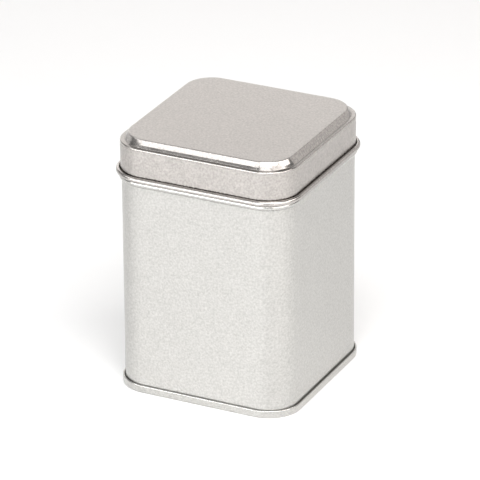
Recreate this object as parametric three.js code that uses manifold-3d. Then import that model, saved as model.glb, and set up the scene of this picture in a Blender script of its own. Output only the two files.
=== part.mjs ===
// Square slip-lid spice tin: a tinplate body with a double-seamed bottom and a drawn lid.
// Millimetres, +Z up. The origin is the middle of the face that the tin stands on.
// Each piece is pressed or rolled from one sheet, so each is drawn as the line that its sheet
// follows in section, given the sheet's thickness, and carried round a rounded square.

import * as THREE from 'three';
import { mergeVertices } from 'three/addons/utils/BufferGeometryUtils.js';
import Module from 'manifold-3d';

const wasm = await Module();
wasm.setup();

// Driving dimensions.
const SHEET = 0.23;               // tinplate thickness
const BODY_HALF = 30;             // from the axis to a side wall's outside
const BODY_CORNER = 10.25;        // radius of the body's upright corners, outside
const CORNER_CENTRE = BODY_HALF - BODY_CORNER;

const SEAM_HEIGHT = 2.58;         // double seam round the bottom
const SEAM_PROUD = 0.85;          // how far the seam stands out from the wall
const SEAM_BEND = 0.4;            // radius of the seam's lower bends, on the sheet's middle
const SEAM_LIP = 0.3;             // radius of the lip that turns in at the seam's top
const PANEL_RECESS = 3.1;         // the bottom panel's underside, above the table
const SEAM_CLEARANCE = 0.3;       // between the bottom's sheet and the body's sheet

const BEAD_PROUD = 0.82;          // stop bead rolled into the body, which the lid rests on
const BEAD_HALF_HEIGHT = 1.08;
const BEAD_Z = 71.9;
const NECK_SET_IN = 0.19;         // the wall above the bead is drawn in, so the lid slides freely
const RIM_Z = 82.4;               // top of the body's curled rim
const RIM_CURL = 0.5;             // radius of the rim's inward curl, on the sheet's middle

const LID_CLEARANCE = 0.11;       // lid skirt's inside to the plane of the body wall
const LID_TOP = 86.34;
const LEDGE_Z = 84.0;             // the narrow ledge round the raised panel
const SHOULDER = 0.4;             // radius between skirt and ledge, outside
const FOOT_IN = 1.95;             // from the skirt's outside to the foot of the raised panel
const FOOT_RADIUS = 0.4;
const PANEL_RADIUS = 0.85;        // radius round the raised panel's edge, outside
const PANEL_CENTRE = 19.1;        // centre of the raised panel's corners, from each middle plane
const CURL_RADIUS = 0.705;        // the lid's outward curled edge, on the sheet's middle
const CURL_Z = 73.8;
const CURL_END = 100;             // degrees at which the curl's raw edge stops, short of the skirt

const LAP_WIDTH = 4;              // the body's upright lap seam, in the middle of the back
const LAP_PROUD = 0.2;
const LAP_MARGIN = 0.4;           // gap from the lap to the seam below and the bead above

const CORNER_STEPS = 6;           // facets round each upright corner
const BEND_STEPS = 2;             // half the facets round each bend of a section

const HALF_SHEET = SHEET / 2;

// Where two stretches of a line meet, the shared point is kept once.
function withoutRepeats(points) {
  return points.filter((point, i) => i === 0 || point.distanceTo(points[i - 1]) > 1e-6);
}

// The sheet's two faces, half a thickness to each side of its middle line.
function sheetSection(line) {
  const left = [];
  const right = [];
  line.forEach((point, i) => {
    const before = line[Math.max(i - 1, 0)];
    const after = line[Math.min(i + 1, line.length - 1)];
    const arriving = (i > 0 ? point.clone().sub(before) : after.clone().sub(point)).normalize();
    const leaving = (i < line.length - 1 ? after.clone().sub(point) : arriving.clone()).normalize();
    const along = arriving.clone().add(leaving).normalize();
    const mitre = HALF_SHEET / along.dot(arriving);
    const side = new THREE.Vector2(-along.y, along.x).multiplyScalar(mitre);
    left.push(point.clone().add(side));
    right.push(point.clone().sub(side));
  });
  return [...right, ...left.reverse()];
}

function closed(section) {
  return [...section, section[0].clone()];
}

// A section carried round the rounded square. The lathe gives the mesh, and each of its columns
// is then moved to its place: a quarter turn at each corner, and straight sides between them.
function roundTheSquare(section, cornerCentreAt) {
  const perCorner = CORNER_STEPS + 1;
  const columns = 4 * perCorner;
  const geometry = new THREE.LatheGeometry(section, columns);
  const position = geometry.attributes.position;
  for (let column = 0; column <= columns; column += 1) {
    const quarter = Math.floor(column / perCorner) % 4;
    const angle = (quarter + (column % perCorner) / CORNER_STEPS) * Math.PI / 2;
    const middle = (quarter + 0.5) * Math.PI / 2;
    const signX = Math.sign(Math.cos(middle));
    const signY = Math.sign(Math.sin(middle));
    section.forEach((point, row) => {
      const centre = Math.min(cornerCentreAt(point.x), point.x);
      const radius = point.x - centre;
      position.setXYZ(
        column * section.length + row,
        signX * centre + radius * Math.cos(angle),
        signY * centre + radius * Math.sin(angle),
        point.y,
      );
    });
  }
  geometry.deleteAttribute('uv');
  geometry.deleteAttribute('normal');
  return mergeVertices(geometry);
}

function toSolid(geometry) {
  const merged = mergeVertices(geometry.deleteAttribute('uv').deleteAttribute('normal'));
  return new wasm.Manifold(new wasm.Mesh({
    numProp: 3,
    vertProperties: Float32Array.from(merged.attributes.position.array),
    triVerts: Uint32Array.from(merged.index.array),
  }));
}

function toGeometry(solid) {
  const mesh = solid.getMesh();
  const geometry = new THREE.BufferGeometry();
  geometry.setAttribute('position', new THREE.Float32BufferAttribute(mesh.vertProperties, 3));
  geometry.setIndex(Array.from(mesh.triVerts));
  geometry.computeVertexNormals();
  return geometry;
}

function makePiece(name, geometry, colour) {
  const material = new THREE.MeshStandardMaterial({ color: colour, roughness: 0.4, metalness: 1 });
  const piece = new THREE.Mesh(geometry, material);
  piece.name = name;
  return piece;
}

// Body wall: one sheet wrapped round, flared into the bottom seam, with the stop bead, the
// slightly smaller neck that the lid slides over, and a rim curled inwards.
function bodySection() {
  const wall = BODY_HALF - HALF_SHEET;
  const neck = wall - NECK_SET_IN;
  const flareZ = SHEET + SEAM_CLEARANCE;
  const curlZ = RIM_Z - RIM_CURL - HALF_SHEET;
  const line = new THREE.Path();
  line.moveTo(wall + SEAM_CLEARANCE, flareZ);
  line.lineTo(wall, flareZ + 0.8);
  line.lineTo(wall, BEAD_Z - BEAD_HALF_HEIGHT);
  line.absellipse(wall, BEAD_Z, BEAD_PROUD, BEAD_HALF_HEIGHT, -Math.PI / 2, Math.PI / 2, false);
  line.lineTo(neck, BEAD_Z + BEAD_HALF_HEIGHT + 0.6);
  line.lineTo(neck, curlZ);
  line.absarc(neck - RIM_CURL, curlZ, RIM_CURL, 0, Math.PI * 1.4, false);
  return closed(sheetSection(withoutRepeats(line.getPoints(BEND_STEPS * 2))));
}

// Bottom end: a shallow pan whose edge goes down inside the wall, under it and up outside it,
// and turns in at the top, as the outer layers of the double seam.
function bottomSection() {
  const inner = BODY_HALF - SHEET - SEAM_CLEARANCE - HALF_SHEET;
  const outer = BODY_HALF + SEAM_PROUD - HALF_SHEET;
  const panelZ = PANEL_RECESS + HALF_SHEET;
  const bendZ = HALF_SHEET + SEAM_BEND;
  const lipZ = SEAM_HEIGHT - HALF_SHEET - SEAM_LIP;
  const line = new THREE.Path();
  line.moveTo(0, panelZ);
  line.lineTo(inner - SEAM_BEND, panelZ);
  line.absarc(inner - SEAM_BEND, panelZ - SEAM_BEND, SEAM_BEND, Math.PI / 2, 0, true);
  line.lineTo(inner, bendZ);
  line.absarc(inner + SEAM_BEND, bendZ, SEAM_BEND, Math.PI, Math.PI * 1.5, false);
  line.lineTo(outer - SEAM_BEND, HALF_SHEET);
  line.absarc(outer - SEAM_BEND, bendZ, SEAM_BEND, -Math.PI / 2, 0, false);
  line.lineTo(outer, lipZ);
  line.absarc(outer - SEAM_LIP, lipZ, SEAM_LIP, 0, Math.PI / 2, false);
  return sheetSection(withoutRepeats(line.getPoints(BEND_STEPS)));
}

// Lid: drawn in one piece, with a raised panel, a narrow ledge, a skirt that slides over the
// body's neck, and an edge curled outwards that comes to rest on the body's stop bead.
function lidSection() {
  const skirt = BODY_HALF + LID_CLEARANCE + HALF_SHEET;
  const foot = BODY_HALF + LID_CLEARANCE + SHEET - FOOT_IN;
  const panelBend = PANEL_RADIUS - HALF_SHEET;
  const footBend = FOOT_RADIUS + HALF_SHEET;
  const shoulderBend = SHOULDER - HALF_SHEET;
  const topZ = LID_TOP - HALF_SHEET;
  const ledgeZ = LEDGE_Z - HALF_SHEET;
  const curl = skirt + CURL_RADIUS;
  const curlEnd = THREE.MathUtils.degToRad(CURL_END);
  const line = new THREE.Path();
  line.moveTo(curl + CURL_RADIUS * Math.cos(curlEnd), CURL_Z + CURL_RADIUS * Math.sin(curlEnd));
  line.absarc(curl, CURL_Z, CURL_RADIUS, curlEnd, 0, true);
  line.absarc(curl, CURL_Z, CURL_RADIUS, 0, -Math.PI, true);
  line.lineTo(skirt, ledgeZ - shoulderBend);
  line.absarc(skirt - shoulderBend, ledgeZ - shoulderBend, shoulderBend, 0, Math.PI / 2, false);
  line.lineTo(foot + footBend, ledgeZ);
  line.absarc(foot + footBend, ledgeZ + footBend, footBend, -Math.PI / 2, -Math.PI, true);
  line.lineTo(foot, topZ - panelBend);
  line.absarc(foot - panelBend, topZ - panelBend, panelBend, 0, Math.PI / 2, false);
  line.lineTo(0, topZ);
  return closed(sheetSection(withoutRepeats(line.getPoints(BEND_STEPS))));
}

// The raised panel's corners turn about their own centres, a little further in than the skirt's.
function lidCornerCentre(half) {
  const ledgeOuter = BODY_HALF + LID_CLEARANCE + SHEET - SHOULDER;
  const ledgeInner = BODY_HALF + LID_CLEARANCE + SHEET - FOOT_IN + FOOT_RADIUS;
  const share = THREE.MathUtils.clamp((half - ledgeInner) / (ledgeOuter - ledgeInner), 0, 1);
  return THREE.MathUtils.lerp(PANEL_CENTRE, CORNER_CENTRE, share);
}

function makeBodyWall() {
  const wall = toSolid(roundTheSquare(bodySection(), () => CORNER_CENTRE));
  const lapLow = SEAM_HEIGHT + LAP_MARGIN;
  const lapHigh = BEAD_Z - BEAD_HALF_HEIGHT - LAP_MARGIN;
  const lap = new THREE.BoxGeometry(LAP_WIDTH, LAP_PROUD + HALF_SHEET, lapHigh - lapLow);
  lap.translate(0, BODY_HALF + (LAP_PROUD - HALF_SHEET) / 2, (lapLow + lapHigh) / 2);
  return makePiece('body_wall', toGeometry(wall.add(toSolid(lap))), 0xcfccc6);
}

function makeBottomEnd() {
  return makePiece('bottom_end', roundTheSquare(bottomSection(), () => CORNER_CENTRE), 0xc6c3bd);
}

function makeLid() {
  return makePiece('lid', roundTheSquare(lidSection(), lidCornerCentre), 0xc9c5c0);
}

const tin = new THREE.Group();
tin.name = 'spice_tin';
tin.add(makeBodyWall(), makeBottomEnd(), makeLid());

export default tin;
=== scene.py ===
import math

import bmesh
import bpy
from mathutils import Matrix, Vector


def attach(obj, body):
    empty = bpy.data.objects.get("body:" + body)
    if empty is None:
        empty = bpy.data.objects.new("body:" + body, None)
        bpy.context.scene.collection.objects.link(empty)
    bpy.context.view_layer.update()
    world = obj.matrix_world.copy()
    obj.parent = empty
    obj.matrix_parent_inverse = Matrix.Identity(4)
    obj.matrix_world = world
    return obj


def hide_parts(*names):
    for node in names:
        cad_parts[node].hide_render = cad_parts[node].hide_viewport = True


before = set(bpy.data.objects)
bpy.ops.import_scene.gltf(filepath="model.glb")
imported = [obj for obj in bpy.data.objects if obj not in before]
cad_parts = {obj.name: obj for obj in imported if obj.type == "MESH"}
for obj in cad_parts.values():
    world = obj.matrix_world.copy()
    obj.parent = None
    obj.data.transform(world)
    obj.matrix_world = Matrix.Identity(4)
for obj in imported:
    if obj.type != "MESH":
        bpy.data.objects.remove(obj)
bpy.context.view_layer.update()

# A square slip-lid spice tin of satin silver tinplate, on a pale floor in soft studio light.
# It is made the way a tin is made: a body sheet wrapped round, a bottom seamed on, and a lid
# drawn in one piece. Sizes are in millimetres, and MM turns them into the metres of the frame.
# Each piece is drawn as the middle line of its sheet, in section, at the start of one corner.

MM = 0.001


# ---------------------------------------------------------------- body wall
# One tinplate sheet wrapped into a square tube with rounded corners, and lapped up the back.
# A stop bead is rolled outwards below the lid, the neck above it is drawn in a little so that
# the lid slides over it, and the rim is curled inwards so that no raw edge shows.

SHEET = 0.23                      # tinplate thickness
HALF_SHEET = SHEET / 2
BODY_HALF = 30.0                  # from the axis to a side wall's outside
BODY_CORNER = 10.25               # radius of the upright corners, outside
CORNER_AXIS = BODY_HALF - BODY_CORNER
CORNER_STEPS = 24
EDGE_STRIP = 0.6                  # narrow faces beside each bend keep the flat sides flat
WELD = 0.002                      # closer than this, two points are one
SHARP = 20                        # degrees between faces, past which an edge shows as a crease


def start_line(name, x, z, corner_axis=CORNER_AXIS):
    """A new piece: the first point of its line, left in edit mode."""
    bpy.ops.object.select_all(action="DESELECT")
    bpy.ops.mesh.primitive_plane_add(size=MM, location=(x * MM, corner_axis * MM, z * MM))
    piece = bpy.context.object
    piece.name = piece.data.name = name
    bpy.ops.object.transform_apply(location=True)
    bpy.ops.object.mode_set(mode="EDIT")
    bpy.ops.mesh.select_all(action="SELECT")
    bpy.ops.mesh.merge(type="CENTER")
    return piece


def line_end():
    """Where the line has come to, in metres."""
    mesh = bmesh.from_edit_mesh(bpy.context.object.data)
    return next(point.co.copy() for point in mesh.verts if point.select)


def run_to(x, z):
    """The line goes on straight to (x, z)."""
    here = line_end()
    step = (x * MM - here.x, 0, z * MM - here.z)
    bpy.ops.mesh.extrude_vertices_move(TRANSFORM_OT_translate={"value": step})


def bend(centre_x, centre_z, degrees, steps=8):
    """The line goes on round a centre; positive degrees turn from +X towards +Z."""
    here = line_end()
    centre = (centre_x * MM, here.y, centre_z * MM)
    bpy.ops.mesh.spin(steps=steps, angle=math.radians(degrees), center=centre, axis=(0, 1, 0))


def select_where(test):
    """Edit mode: selects the points that pass the test, with the edges and faces they make."""
    mesh = bmesh.from_edit_mesh(bpy.context.object.data)
    for point in mesh.verts:
        point.select = test(point.co)
    mesh.select_flush(True)
    mesh.select_flush(False)
    bmesh.update_edit_mesh(bpy.context.object.data)


def carry_round_quarter(corner_axis=CORNER_AXIS):
    """The section is spun round one corner, and its two ends are drawn out to the middle planes."""
    axis = corner_axis * MM
    bpy.ops.mesh.select_all(action="SELECT")
    centre = (axis, axis, 0)
    bpy.ops.mesh.spin(steps=CORNER_STEPS, angle=math.radians(90), center=centre, axis=(0, 0, -1))
    for across in (1, 0):
        near = axis
        for length in (EDGE_STRIP * MM, axis - EDGE_STRIP * MM):
            select_where(lambda co: abs(co[across] - near) < WELD * MM / 2)
            step = [0, 0, 0]
            step[across] = -length
            bpy.ops.mesh.extrude_region_move(TRANSFORM_OT_translate={"value": step})
            near -= length


def use_modifier(piece, kind, **settings):
    """Object mode: adds a modifier with these settings and applies it."""
    modifier = piece.modifiers.new(kind.title(), kind)
    for name, value in settings.items():
        setattr(modifier, name, value)
    bpy.context.view_layer.objects.active = piece
    bpy.ops.object.modifier_apply(modifier=modifier.name)


def mirror_quarters(piece):
    """The quarter becomes the whole, and its faces are turned outwards."""
    bpy.ops.object.mode_set(mode="OBJECT")
    use_modifier(
        piece, "MIRROR", use_axis=(True, True, False), use_clip=True, merge_threshold=WELD * MM)
    bpy.ops.object.mode_set(mode="EDIT")
    bpy.ops.mesh.select_all(action="SELECT")
    bpy.ops.mesh.remove_doubles(threshold=WELD * MM)
    bpy.ops.mesh.normals_make_consistent(inside=False)


def select_open_edge(z):
    """Edit mode: selects the sheet's open edge, or edges, at height z."""
    bpy.ops.mesh.select_all(action="DESELECT")
    bpy.ops.mesh.select_non_manifold(
        use_wire=False, use_multi_face=False, use_non_contiguous=False, use_verts=False)
    mesh = bmesh.from_edit_mesh(bpy.context.object.data)
    for edge in mesh.edges:
        if edge.select and max(abs(point.co.z - z * MM) for point in edge.verts) > WELD * MM:
            edge.select = False
    bmesh.update_edit_mesh(bpy.context.object.data)


def turn_outwards():
    """Edit mode: turns every face to point outwards."""
    bpy.ops.mesh.select_all(action="SELECT")
    bpy.ops.mesh.normals_make_consistent(inside=False)


def smooth_bends(piece):
    """Object mode: shades the bends round, and keeps the true creases."""
    bpy.ops.object.select_all(action="DESELECT")
    piece.select_set(True)
    bpy.ops.object.shade_smooth_by_angle(angle=math.radians(SHARP))


def give_thickness(piece):
    """The middle surface becomes a sheet of tinplate, shaded smooth over its bends."""
    bpy.ops.object.mode_set(mode="OBJECT")
    use_modifier(piece, "SOLIDIFY", thickness=SHEET * MM, offset=0, use_even_offset=True)
    smooth_bends(piece)


FLARE = ((0.3, 0.55), (0.04, 1.2), (0, 1.5))    # out from the wall and height: the foot's flange
BEAD_PROUD = 0.87
BEAD_Z = 72.1
BEAD_RADIUS = 1.0                 # outside of the bead
BEAD_FILLET = 0.4                 # where it leaves the wall, above and below
BEAD_STEPS = 18
NECK_SET_IN = 0.16
NECK_TAPER = ((0.02, 0.6), (0, 1.0))            # out from the neck and height above the bead
RIM_Z = 82.4
RIM_CURL = 0.5                    # radius of the curl's middle line
RIM_TURN = 250                    # degrees
RIM_STEPS = 22

wall = BODY_HALF - HALF_SHEET
neck = wall - NECK_SET_IN
bead_bend = BEAD_RADIUS - HALF_SHEET
fillet_bend = BEAD_FILLET + HALF_SHEET
fillet_across = fillet_bend + bead_bend - BEAD_PROUD
fillet_up = math.sqrt((fillet_bend + bead_bend) ** 2 - fillet_across ** 2)
fillet_turn = math.degrees(math.atan2(fillet_up, fillet_across))
bead_foot = BEAD_Z - fillet_up
bead_head = BEAD_Z + fillet_up
curl_z = RIM_Z - RIM_CURL - HALF_SHEET

body_wall = start_line("body_wall_tinplate", wall + FLARE[0][0], FLARE[0][1])
for out, z in FLARE[1:]:
    run_to(wall + out, z)
run_to(wall, bead_foot - EDGE_STRIP)
run_to(wall, bead_foot)
bend(wall + fillet_bend, bead_foot, -fillet_turn)
bend(wall + BEAD_PROUD - bead_bend, BEAD_Z, 2 * fillet_turn, steps=BEAD_STEPS)
bend(wall + fillet_bend, bead_head, -fillet_turn)
for out, up in NECK_TAPER:
    run_to(neck + out, bead_head + up)
run_to(neck, curl_z - EDGE_STRIP)
run_to(neck, curl_z)
bend(neck - RIM_CURL, curl_z, RIM_TURN, steps=RIM_STEPS)
carry_round_quarter()
mirror_quarters(body_wall)

LAP_HALF = 2.0                    # the side lap stands up the middle of the back
LAP_PROUD = 0.2
LAP_SLOPE = 0.2
LAP_FOOT = 3.0
LAP_TOP = bead_foot - 0.2
BACK_WALL = 20.0                  # what lies further along +Y belongs to the back

for x in (-LAP_HALF - LAP_SLOPE, -LAP_HALF, LAP_HALF, LAP_HALF + LAP_SLOPE):
    select_where(lambda co: co.y > BACK_WALL * MM)
    bpy.ops.mesh.bisect(plane_co=(x * MM, 0, 0), plane_no=(1, 0, 0))
for z in (LAP_FOOT, LAP_FOOT + LAP_SLOPE, LAP_TOP - LAP_SLOPE, LAP_TOP):
    select_where(
        lambda co: co.y > BACK_WALL * MM and abs(co.x) < (LAP_HALF + LAP_SLOPE + WELD) * MM)
    bpy.ops.mesh.bisect(plane_co=(0, 0, z * MM), plane_no=(0, 0, 1))
give_thickness(body_wall)
bpy.ops.object.mode_set(mode="EDIT")
select_where(
    lambda co: co.y > (BODY_HALF - WELD) * MM and abs(co.x) < (LAP_HALF + WELD) * MM
    and LAP_FOOT + LAP_SLOPE - WELD < co.z / MM < LAP_TOP - LAP_SLOPE + WELD)
bpy.ops.transform.translate(value=(0, LAP_PROUD * MM, 0))
bpy.ops.object.mode_set(mode="OBJECT")
smooth_bends(body_wall)


def linear(hex_colour):
    """The linear colour of an sRGB hex."""
    parts = [int(hex_colour[i:i + 2], 16) / 255 for i in (1, 3, 5)]
    return [c / 12.92 if c <= 0.04045 else ((c + 0.055) / 1.055) ** 2.4 for c in parts] + [1]


def add(tree, kind, inputs, output=0, **settings):
    """Adds one node, with its settings, values and links, and gives back one of its outputs."""
    node = tree.nodes.new("ShaderNode" + kind)
    for name, value in settings.items():
        setattr(node, name, value)
    for name, value in inputs.items():
        if isinstance(value, bpy.types.NodeSocket):
            tree.links.new(value, node.inputs[name])
        else:
            node.inputs[name].default_value = value
    return node.outputs[output]


def height_mask(tree, height, stops):
    """Runs from 0 to 1 by height; stops are (mm above the floor, value), from the lowest up."""
    low, high = stops[0][0], stops[-1][0]
    part = add(tree, "MapRange", {"Value": height, "From Min": low * MM, "From Max": high * MM})
    mask = add(tree, "ValToRGB", {"Fac": part})
    elements = mask.node.color_ramp.elements
    while len(elements) < len(stops):
        elements.new(0.5)
    for element, (z, value) in zip(elements, stops):
        element.position = (z - low) / (high - low)
    # A stop that is moved can change its place in the list, so the values are set afterwards.
    for element, (z, value) in zip(elements, stops):
        element.color = (value, value, value, 1)
    return mask


# Satin tinplate is steel sheet with a matt electrolytic tin coat. Blasted rolls print a random
# stipple on it, with faint lines along the rolling, so that it gleams softly and shows no
# image. The tools that form the bends press the stipple flat and leave them brighter.
STIPPLE = 0.65                    # real cells are near 0.1 mm, too fine to show, so these are coarser
STIPPLE_SPREAD = 0.2              # the noise keeps near 0.5, and this much each side is used
STIPPLE_DEEP = 0.02               # deeper than the real ones too, as they are wider
STIPPLE_LEFT = 0.1                # the part of the stipple that is left on a burnished bend
ROLL_LINE = 0.3                   # real lines are finer, and these are as coarse as they need to show
ROLL_LINE_DEEP = 0.002
CLOUD = 6                         # patches of a slightly different tone
CLOUD_SPREAD = 0.15
CLOUD_PART = 0.08                 # their part in the tone; the stipple has the rest
BUCKLE = 22                       # the sheet's own faint waves
BUCKLE_DEEP = 0.05
SATIN_ROUGH = 0.32
SATIN_RANGE = 0.03
BURNISHED_ROUGH = 0.14
BURNISHED_RANGE = 0.05


def satin_tinplate(name, dark, light, along, burnished, shift):
    """dark and light are the ends of its colour, along stretches the rolling lines, burnished is
    the stops of a height mask for the bends, and shift moves the pattern from piece to piece."""
    material = bpy.data.materials.new(name)
    material.use_nodes = True
    tree = material.node_tree
    shader = tree.nodes["Principled BSDF"]
    place = add(tree, "TexCoord", {}, output="Object")
    height = add(tree, "SeparateXYZ", {"Vector": place}, output="Z")
    moved = add(tree, "Mapping", {"Vector": place, "Location": shift})
    stretched = add(tree, "Mapping", {"Vector": moved, "Scale": along})

    stipple = add(tree, "TexNoise", {
        "Vector": moved, "Scale": 1 / (STIPPLE * MM), "Detail": 2, "Roughness": 0.6})
    lines = add(tree, "TexNoise", {"Vector": stretched, "Scale": 1 / (ROLL_LINE * MM), "Detail": 2})
    cloud = add(tree, "TexNoise", {
        "Vector": moved, "Scale": 1 / (CLOUD * MM), "Detail": 3, "Roughness": 0.55})
    buckle = add(tree, "TexNoise", {"Vector": moved, "Scale": 1 / (BUCKLE * MM), "Detail": 0})
    bends = height_mask(tree, height, burnished)

    specks = add(tree, "MapRange", {
        "Value": stipple, "From Min": 0.5 - STIPPLE_SPREAD, "From Max": 0.5 + STIPPLE_SPREAD})
    clouds = add(tree, "MapRange", {
        "Value": cloud, "From Min": 0.5 - CLOUD_SPREAD, "From Max": 0.5 + CLOUD_SPREAD})
    tone = add(tree, "Mix", {"Factor": CLOUD_PART, "A": specks, "B": clouds})
    colour = add(tree, "MixRGB", {"Fac": tone, "Color1": linear(dark), "Color2": linear(light)})
    tree.links.new(colour, shader.inputs["Base Color"])

    flat_rough = add(tree, "MapRange", {
        "Value": tone, "To Min": SATIN_ROUGH - SATIN_RANGE, "To Max": SATIN_ROUGH + SATIN_RANGE})
    bend_rough = add(tree, "MapRange", {
        "Value": clouds, "To Min": BURNISHED_ROUGH, "To Max": BURNISHED_ROUGH + BURNISHED_RANGE})
    rough = add(tree, "Mix", {"Factor": bends, "A": flat_rough, "B": bend_rough})
    tree.links.new(rough, shader.inputs["Roughness"])

    pressed = add(tree, "MapRange", {"Value": bends, "To Min": 1, "To Max": STIPPLE_LEFT})
    normal = add(tree, "Bump", {"Height": buckle, "Distance": BUCKLE_DEEP * MM})
    normal = add(tree, "Bump", {"Height": lines, "Distance": ROLL_LINE_DEEP * MM, "Normal": normal})
    normal = add(tree, "Bump", {
        "Height": stipple, "Distance": STIPPLE_DEEP * MM, "Strength": pressed, "Normal": normal})
    tree.links.new(normal, shader.inputs["Normal"])
    shader.inputs["Metallic"].default_value = 1
    return material


# The bead is burnished by its roll and the rim by the curling tool.
body_bends = [
    (0, 0), (BEAD_Z - 1.5, 0), (BEAD_Z - 0.9, 0.6), (BEAD_Z + 0.7, 0.6), (BEAD_Z + 1.5, 0.3),
    (BEAD_Z + 2.4, 0), (RIM_Z - 0.8, 0), (RIM_Z, 1)]
body_wall.data.materials.append(satin_tinplate(
    "satin tinplate, body", dark="#ABAAA7", light="#C5C4C1", along=(0.06, 0.06, 1),
    burnished=body_bends, shift=(0, 0, 0)))
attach(body_wall, "tin")
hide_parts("body_wall")


# ---------------------------------------------------------------- bottom end
# A shallow tinplate pan set up inside the foot of the body. Its edge is rolled down inside the
# wall, under it and up outside it with the wall's own flange, as a double seam with a round lip.

SEAM_HEIGHT = 2.58
SEAM_PROUD = 0.85                 # how far the seam stands out from the side walls
SEAM_FOOT = 0.5                   # outside radius of the bends under the seam
SEAM_LIP = 0.29                   # outside radius of the lip, folded back down inside
SEAM_LIP_END = 1.3
LIP_STEPS = 12
SEAM_INNER = 0.56                 # from the body wall's outside to the pan wall's inner face
PANEL_Z = 3.1                     # underside of the bottom panel
PANEL_BEND = 0.5

pan_wall = BODY_HALF - SEAM_INNER + HALF_SHEET
seam_face = BODY_HALF + SEAM_PROUD - HALF_SHEET
panel_z = PANEL_Z + HALF_SHEET
foot_bend = SEAM_FOOT - HALF_SHEET
lip_bend = SEAM_LIP - HALF_SHEET

bottom_end = start_line("bottom_end_tinplate", CORNER_AXIS, panel_z)
run_to(pan_wall - PANEL_BEND - EDGE_STRIP, panel_z)
run_to(pan_wall - PANEL_BEND, panel_z)
bend(pan_wall - PANEL_BEND, panel_z - PANEL_BEND, -90)
run_to(pan_wall, foot_bend + HALF_SHEET)
bend(pan_wall + foot_bend, foot_bend + HALF_SHEET, 90)
run_to(seam_face - foot_bend, HALF_SHEET)
bend(seam_face - foot_bend, foot_bend + HALF_SHEET, 90)
run_to(seam_face, SEAM_HEIGHT - SEAM_LIP)
bend(seam_face - lip_bend, SEAM_HEIGHT - SEAM_LIP, 180, steps=LIP_STEPS)
run_to(seam_face - 2 * lip_bend, SEAM_LIP_END)
carry_round_quarter()
mirror_quarters(bottom_end)
select_open_edge(panel_z)
bpy.ops.mesh.edge_face_add()
turn_outwards()
give_thickness(bottom_end)
# The same sheet as the body's. The seam below the panel is burnished by the seaming rolls.
bottom_bends = [(0, 0.6), (PANEL_Z - 0.4, 0.6), (PANEL_Z - 0.1, 0.2)]
bottom_end.data.materials.append(satin_tinplate(
    "satin tinplate, bottom", dark="#ABAAA7", light="#C5C4C1", along=(0.06, 1, 1),
    burnished=bottom_bends, shift=(0.3, 0.1, 0)))
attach(bottom_end, "tin")
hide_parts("bottom_end")


# ---------------------------------------------------------------- lid
# Drawn from one tinplate blank: a raised panel, a narrow ledge, a rounded shoulder and a skirt
# that slides over the neck. Its edge is curled outwards into a hollow tube, open by a narrow
# slot beside the skirt, and rests on the stop bead.

LID_TOP = 86.34
LID_CLEARANCE = 0.11              # skirt's inside to the plane of the body wall
LEDGE_Z = 84.0
SHOULDER = 0.4                    # outside radius of the bend from the ledge to the skirt
FOOT_IN = 1.4                     # from the skirt's outside to the foot of the raised panel
FOOT_RADIUS = 0.08
PANEL_RADIUS = 0.4                # outside radius of the bend from the panel to its bevel
BEVEL_SLOPE = 58                  # degrees, from the panel's edge down to the fold
FOOT_SLOPE = 67                   # degrees, from the fold down to the ledge
FOLD_Z = 84.75
FOLD_HALF = 0.04                  # the fold is a narrow flat, this far each way
PANEL_AXIS = 19.1                 # the raised panel's corners turn about their own axes
CURL_RADIUS = 0.82                # outside of the curl
CURL_Z = 73.8
CURL_TURN = 280                   # degrees
CURL_STEPS = 32

skirt = BODY_HALF + LID_CLEARANCE + HALF_SHEET
panel_foot = BODY_HALF + LID_CLEARANCE + SHEET - FOOT_IN
curl_bend = CURL_RADIUS - HALF_SHEET
shoulder_bend = SHOULDER - HALF_SHEET
panel_foot_bend = FOOT_RADIUS + HALF_SHEET
panel_edge_bend = PANEL_RADIUS - HALF_SHEET
ledge_z = LEDGE_Z - HALF_SHEET
top_z = LID_TOP - HALF_SHEET
bevel = math.radians(BEVEL_SLOPE)
steep = math.radians(FOOT_SLOPE)
foot_x = panel_foot + panel_foot_bend * (1 - math.sin(steep))
foot_z = ledge_z + panel_foot_bend * (1 - math.cos(steep))
fold_x = foot_x - (FOLD_Z - foot_z) / math.tan(steep)
bevel_z = top_z - panel_edge_bend * (1 - math.cos(bevel))
bevel_x = fold_x - (bevel_z - FOLD_Z) / math.tan(bevel)
panel_edge = bevel_x - panel_edge_bend * math.sin(bevel)

lid = start_line("lid_tinplate", skirt - shoulder_bend, ledge_z)
bend(skirt - shoulder_bend, ledge_z - shoulder_bend, -90)
run_to(skirt, ledge_z - shoulder_bend - EDGE_STRIP)
run_to(skirt, CURL_Z + EDGE_STRIP)
run_to(skirt, CURL_Z)
bend(skirt + curl_bend, CURL_Z, CURL_TURN, steps=CURL_STEPS)
carry_round_quarter()
mirror_quarters(lid)
bpy.ops.object.mode_set(mode="OBJECT")

# The raised panel is a second line with corners of its own, bridged to the ledge when both are whole.
panel = start_line("lid_panel", PANEL_AXIS, top_z, PANEL_AXIS)
run_to(panel_edge - EDGE_STRIP, top_z)
run_to(panel_edge, top_z)
bend(panel_edge, top_z - panel_edge_bend, -BEVEL_SLOPE)
run_to(fold_x - FOLD_HALF * math.cos(bevel), FOLD_Z + FOLD_HALF * math.sin(bevel))
run_to(fold_x + FOLD_HALF * math.cos(steep), FOLD_Z - FOLD_HALF * math.sin(steep))
run_to(foot_x, foot_z)
bend(panel_foot + panel_foot_bend, ledge_z + panel_foot_bend, FOOT_SLOPE)
carry_round_quarter(PANEL_AXIS)
mirror_quarters(panel)
select_open_edge(top_z)
bpy.ops.mesh.edge_face_add()
bpy.ops.object.mode_set(mode="OBJECT")

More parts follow.
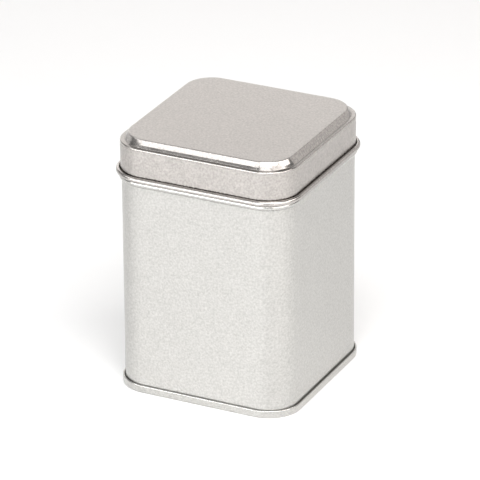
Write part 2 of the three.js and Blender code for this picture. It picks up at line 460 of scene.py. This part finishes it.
lid.select_set(True)
bpy.context.view_layer.objects.active = lid
bpy.ops.object.join()
bpy.ops.object.mode_set(mode="EDIT")
select_open_edge(ledge_z)
bpy.ops.mesh.bridge_edge_loops()
turn_outwards()
give_thickness(lid)
# Another batch of sheet, a little darker. The curl is burnished by its roll, and the shoulder and
# the panel's bevel by the drawing die. The ledge between them and the panel's top stay satin.
lid_bends = [
    (CURL_Z - 0.9, 0.6), (CURL_Z + 0.7, 0.6), (CURL_Z + 1.5, 0),
    (LEDGE_Z - 1.1, 0), (LEDGE_Z - 0.5, 1), (LEDGE_Z - 0.1, 1), (LEDGE_Z - 0.01, 0),
    (LEDGE_Z + 0.02, 0), (LEDGE_Z + 0.1, 1), (LID_TOP - 0.24, 1), (LID_TOP - 0.02, 0),
    (LID_TOP + 0.16, 0)]
lid.data.materials.append(satin_tinplate(
    "satin tinplate, lid", dark="#9F9B98", light="#BDB9B5", along=(0.06, 1, 1),
    burnished=lid_bends, shift=(0.1, 0.4, 0)))
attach(lid, "lid")
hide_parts("lid")


# ---------------------------------------------------------------- floor, camera and lights
# The tin stands on a wide sheet of paper, in a room with pale walls, under soft panels. A long low
# one lights the front and a low one the right side, and the higher ones light the lid.

FLOOR_WIDE = 6                    # metres

bpy.ops.object.select_all(action="DESELECT")
bpy.ops.mesh.primitive_plane_add(size=FLOOR_WIDE)
floor = bpy.context.object
floor.name = "pale_floor"
# White paper, pressed without gloss, is an even pale ground that takes a soft shadow.
paper = bpy.data.materials.new("matt white paper")
paper.use_nodes = True
paper_shader = paper.node_tree.nodes["Principled BSDF"]
paper_shader.inputs["Base Color"].default_value = linear("#EDEDED")
paper_shader.inputs["Roughness"].default_value = 0.9
floor.data.materials.append(paper)

CAMERA_AIM = Vector((0.196, -0.093, 44.63)) * MM
CAMERA_TURN = 26.32               # degrees round from the front, towards +X
CAMERA_RISE = 24.63               # degrees up from the floor
CAMERA_ROLL = -0.45               # degrees
CAMERA_AWAY = 1303.4
SENSOR_WIDE = 36
FOCAL_LENGTH = 308.17
CLIP_NEAR = 0.1                   # metres
CLIP_FAR = 20                     # metres


def direction(turn, rise):
    """A unit vector out from the tin: turn is degrees from the front, rise is degrees upwards."""
    turn = math.radians(turn)
    rise = math.radians(rise)
    return Vector((math.sin(turn) * math.cos(rise), -math.cos(turn) * math.cos(rise), math.sin(rise)))


camera_data = bpy.data.cameras.new("camera")
camera_data.sensor_width = SENSOR_WIDE
camera_data.lens = FOCAL_LENGTH
camera_data.clip_start = CLIP_NEAR
camera_data.clip_end = CLIP_FAR
camera = bpy.data.objects.new("camera", camera_data)
bpy.context.scene.collection.objects.link(camera)
back = direction(CAMERA_TURN, CAMERA_RISE)
roll = Matrix.Rotation(math.radians(CAMERA_ROLL), 3, "Z")
camera.location = CAMERA_AIM + back * CAMERA_AWAY * MM
camera.rotation_euler = (back.to_track_quat("Z", "Y").to_matrix() @ roll).to_euler()
bpy.context.scene.camera = camera

ROOM_LIGHT = 0.28                 # what the room's pale walls give back

world = bpy.data.worlds.new("studio")
world.use_nodes = True
room = world.node_tree.nodes["Background"]
room.inputs["Strength"].default_value = ROOM_LIGHT
room.inputs["Color"].default_value = (1, 1, 1, 1)
bpy.context.scene.world = world
bpy.context.scene.view_settings.view_transform = "Standard"

LIGHT_AIM = Vector((0, 0, 0.04))  # metres: about the middle of the tin


def soft_panel(name, turn, rise, away, wide, high, radiance, colour="#FFFFFF"):
    """A softbox facing the tin from turn and rise; away, wide and high are in metres."""
    toward = direction(turn, rise)
    light = bpy.data.lights.new(name, "AREA")
    light.shape = "RECTANGLE"
    light.size = wide
    light.size_y = high
    light.energy = math.pi * wide * high * radiance
    light.color = linear(colour)[:3]
    panel = bpy.data.objects.new(name, light)
    panel.location = LIGHT_AIM + toward * away
    panel.rotation_euler = toward.to_track_quat("Z", "Y").to_euler()
    panel.visible_camera = False
    bpy.context.scene.collection.objects.link(panel)


soft_panel("front strip", -20, 8, 1.0, 1.2, 0.3, 6.9)
soft_panel("low left", -108, 9, 1.0, 1.0, 0.34, 0.7)
soft_panel("high left", -78, 63, 1.0, 0.6, 0.46, 0.3)
soft_panel("front left", -45, 40, 1.0, 1.2, 0.34, 2.5)
soft_panel("front right", 20, 36, 1.0, 0.6, 0.48, 2.25)
soft_panel("key", 20, 60, 0.42, 0.22, 0.22, 4.18)
soft_panel("key right", 50, 55, 0.42, 0.22, 0.22, 3.46)
soft_panel("low right", 65, 12, 1.0, 0.9, 0.38, 3.6, "#FFFBF8")
soft_panel("right", 60, 36, 1.0, 0.6, 0.48, 1.62, "#FFFBF8")
soft_panel("far right", 100, 36, 1.0, 0.6, 0.48, 3.4, "#FFFBF8")
soft_panel("back left", -146, 20, 1.0, 0.9, 0.7, 1.21, "#FFFCFA")
soft_panel("back right", 155, 20, 1.0, 0.9, 0.7, 0.66, "#FFFBF8")
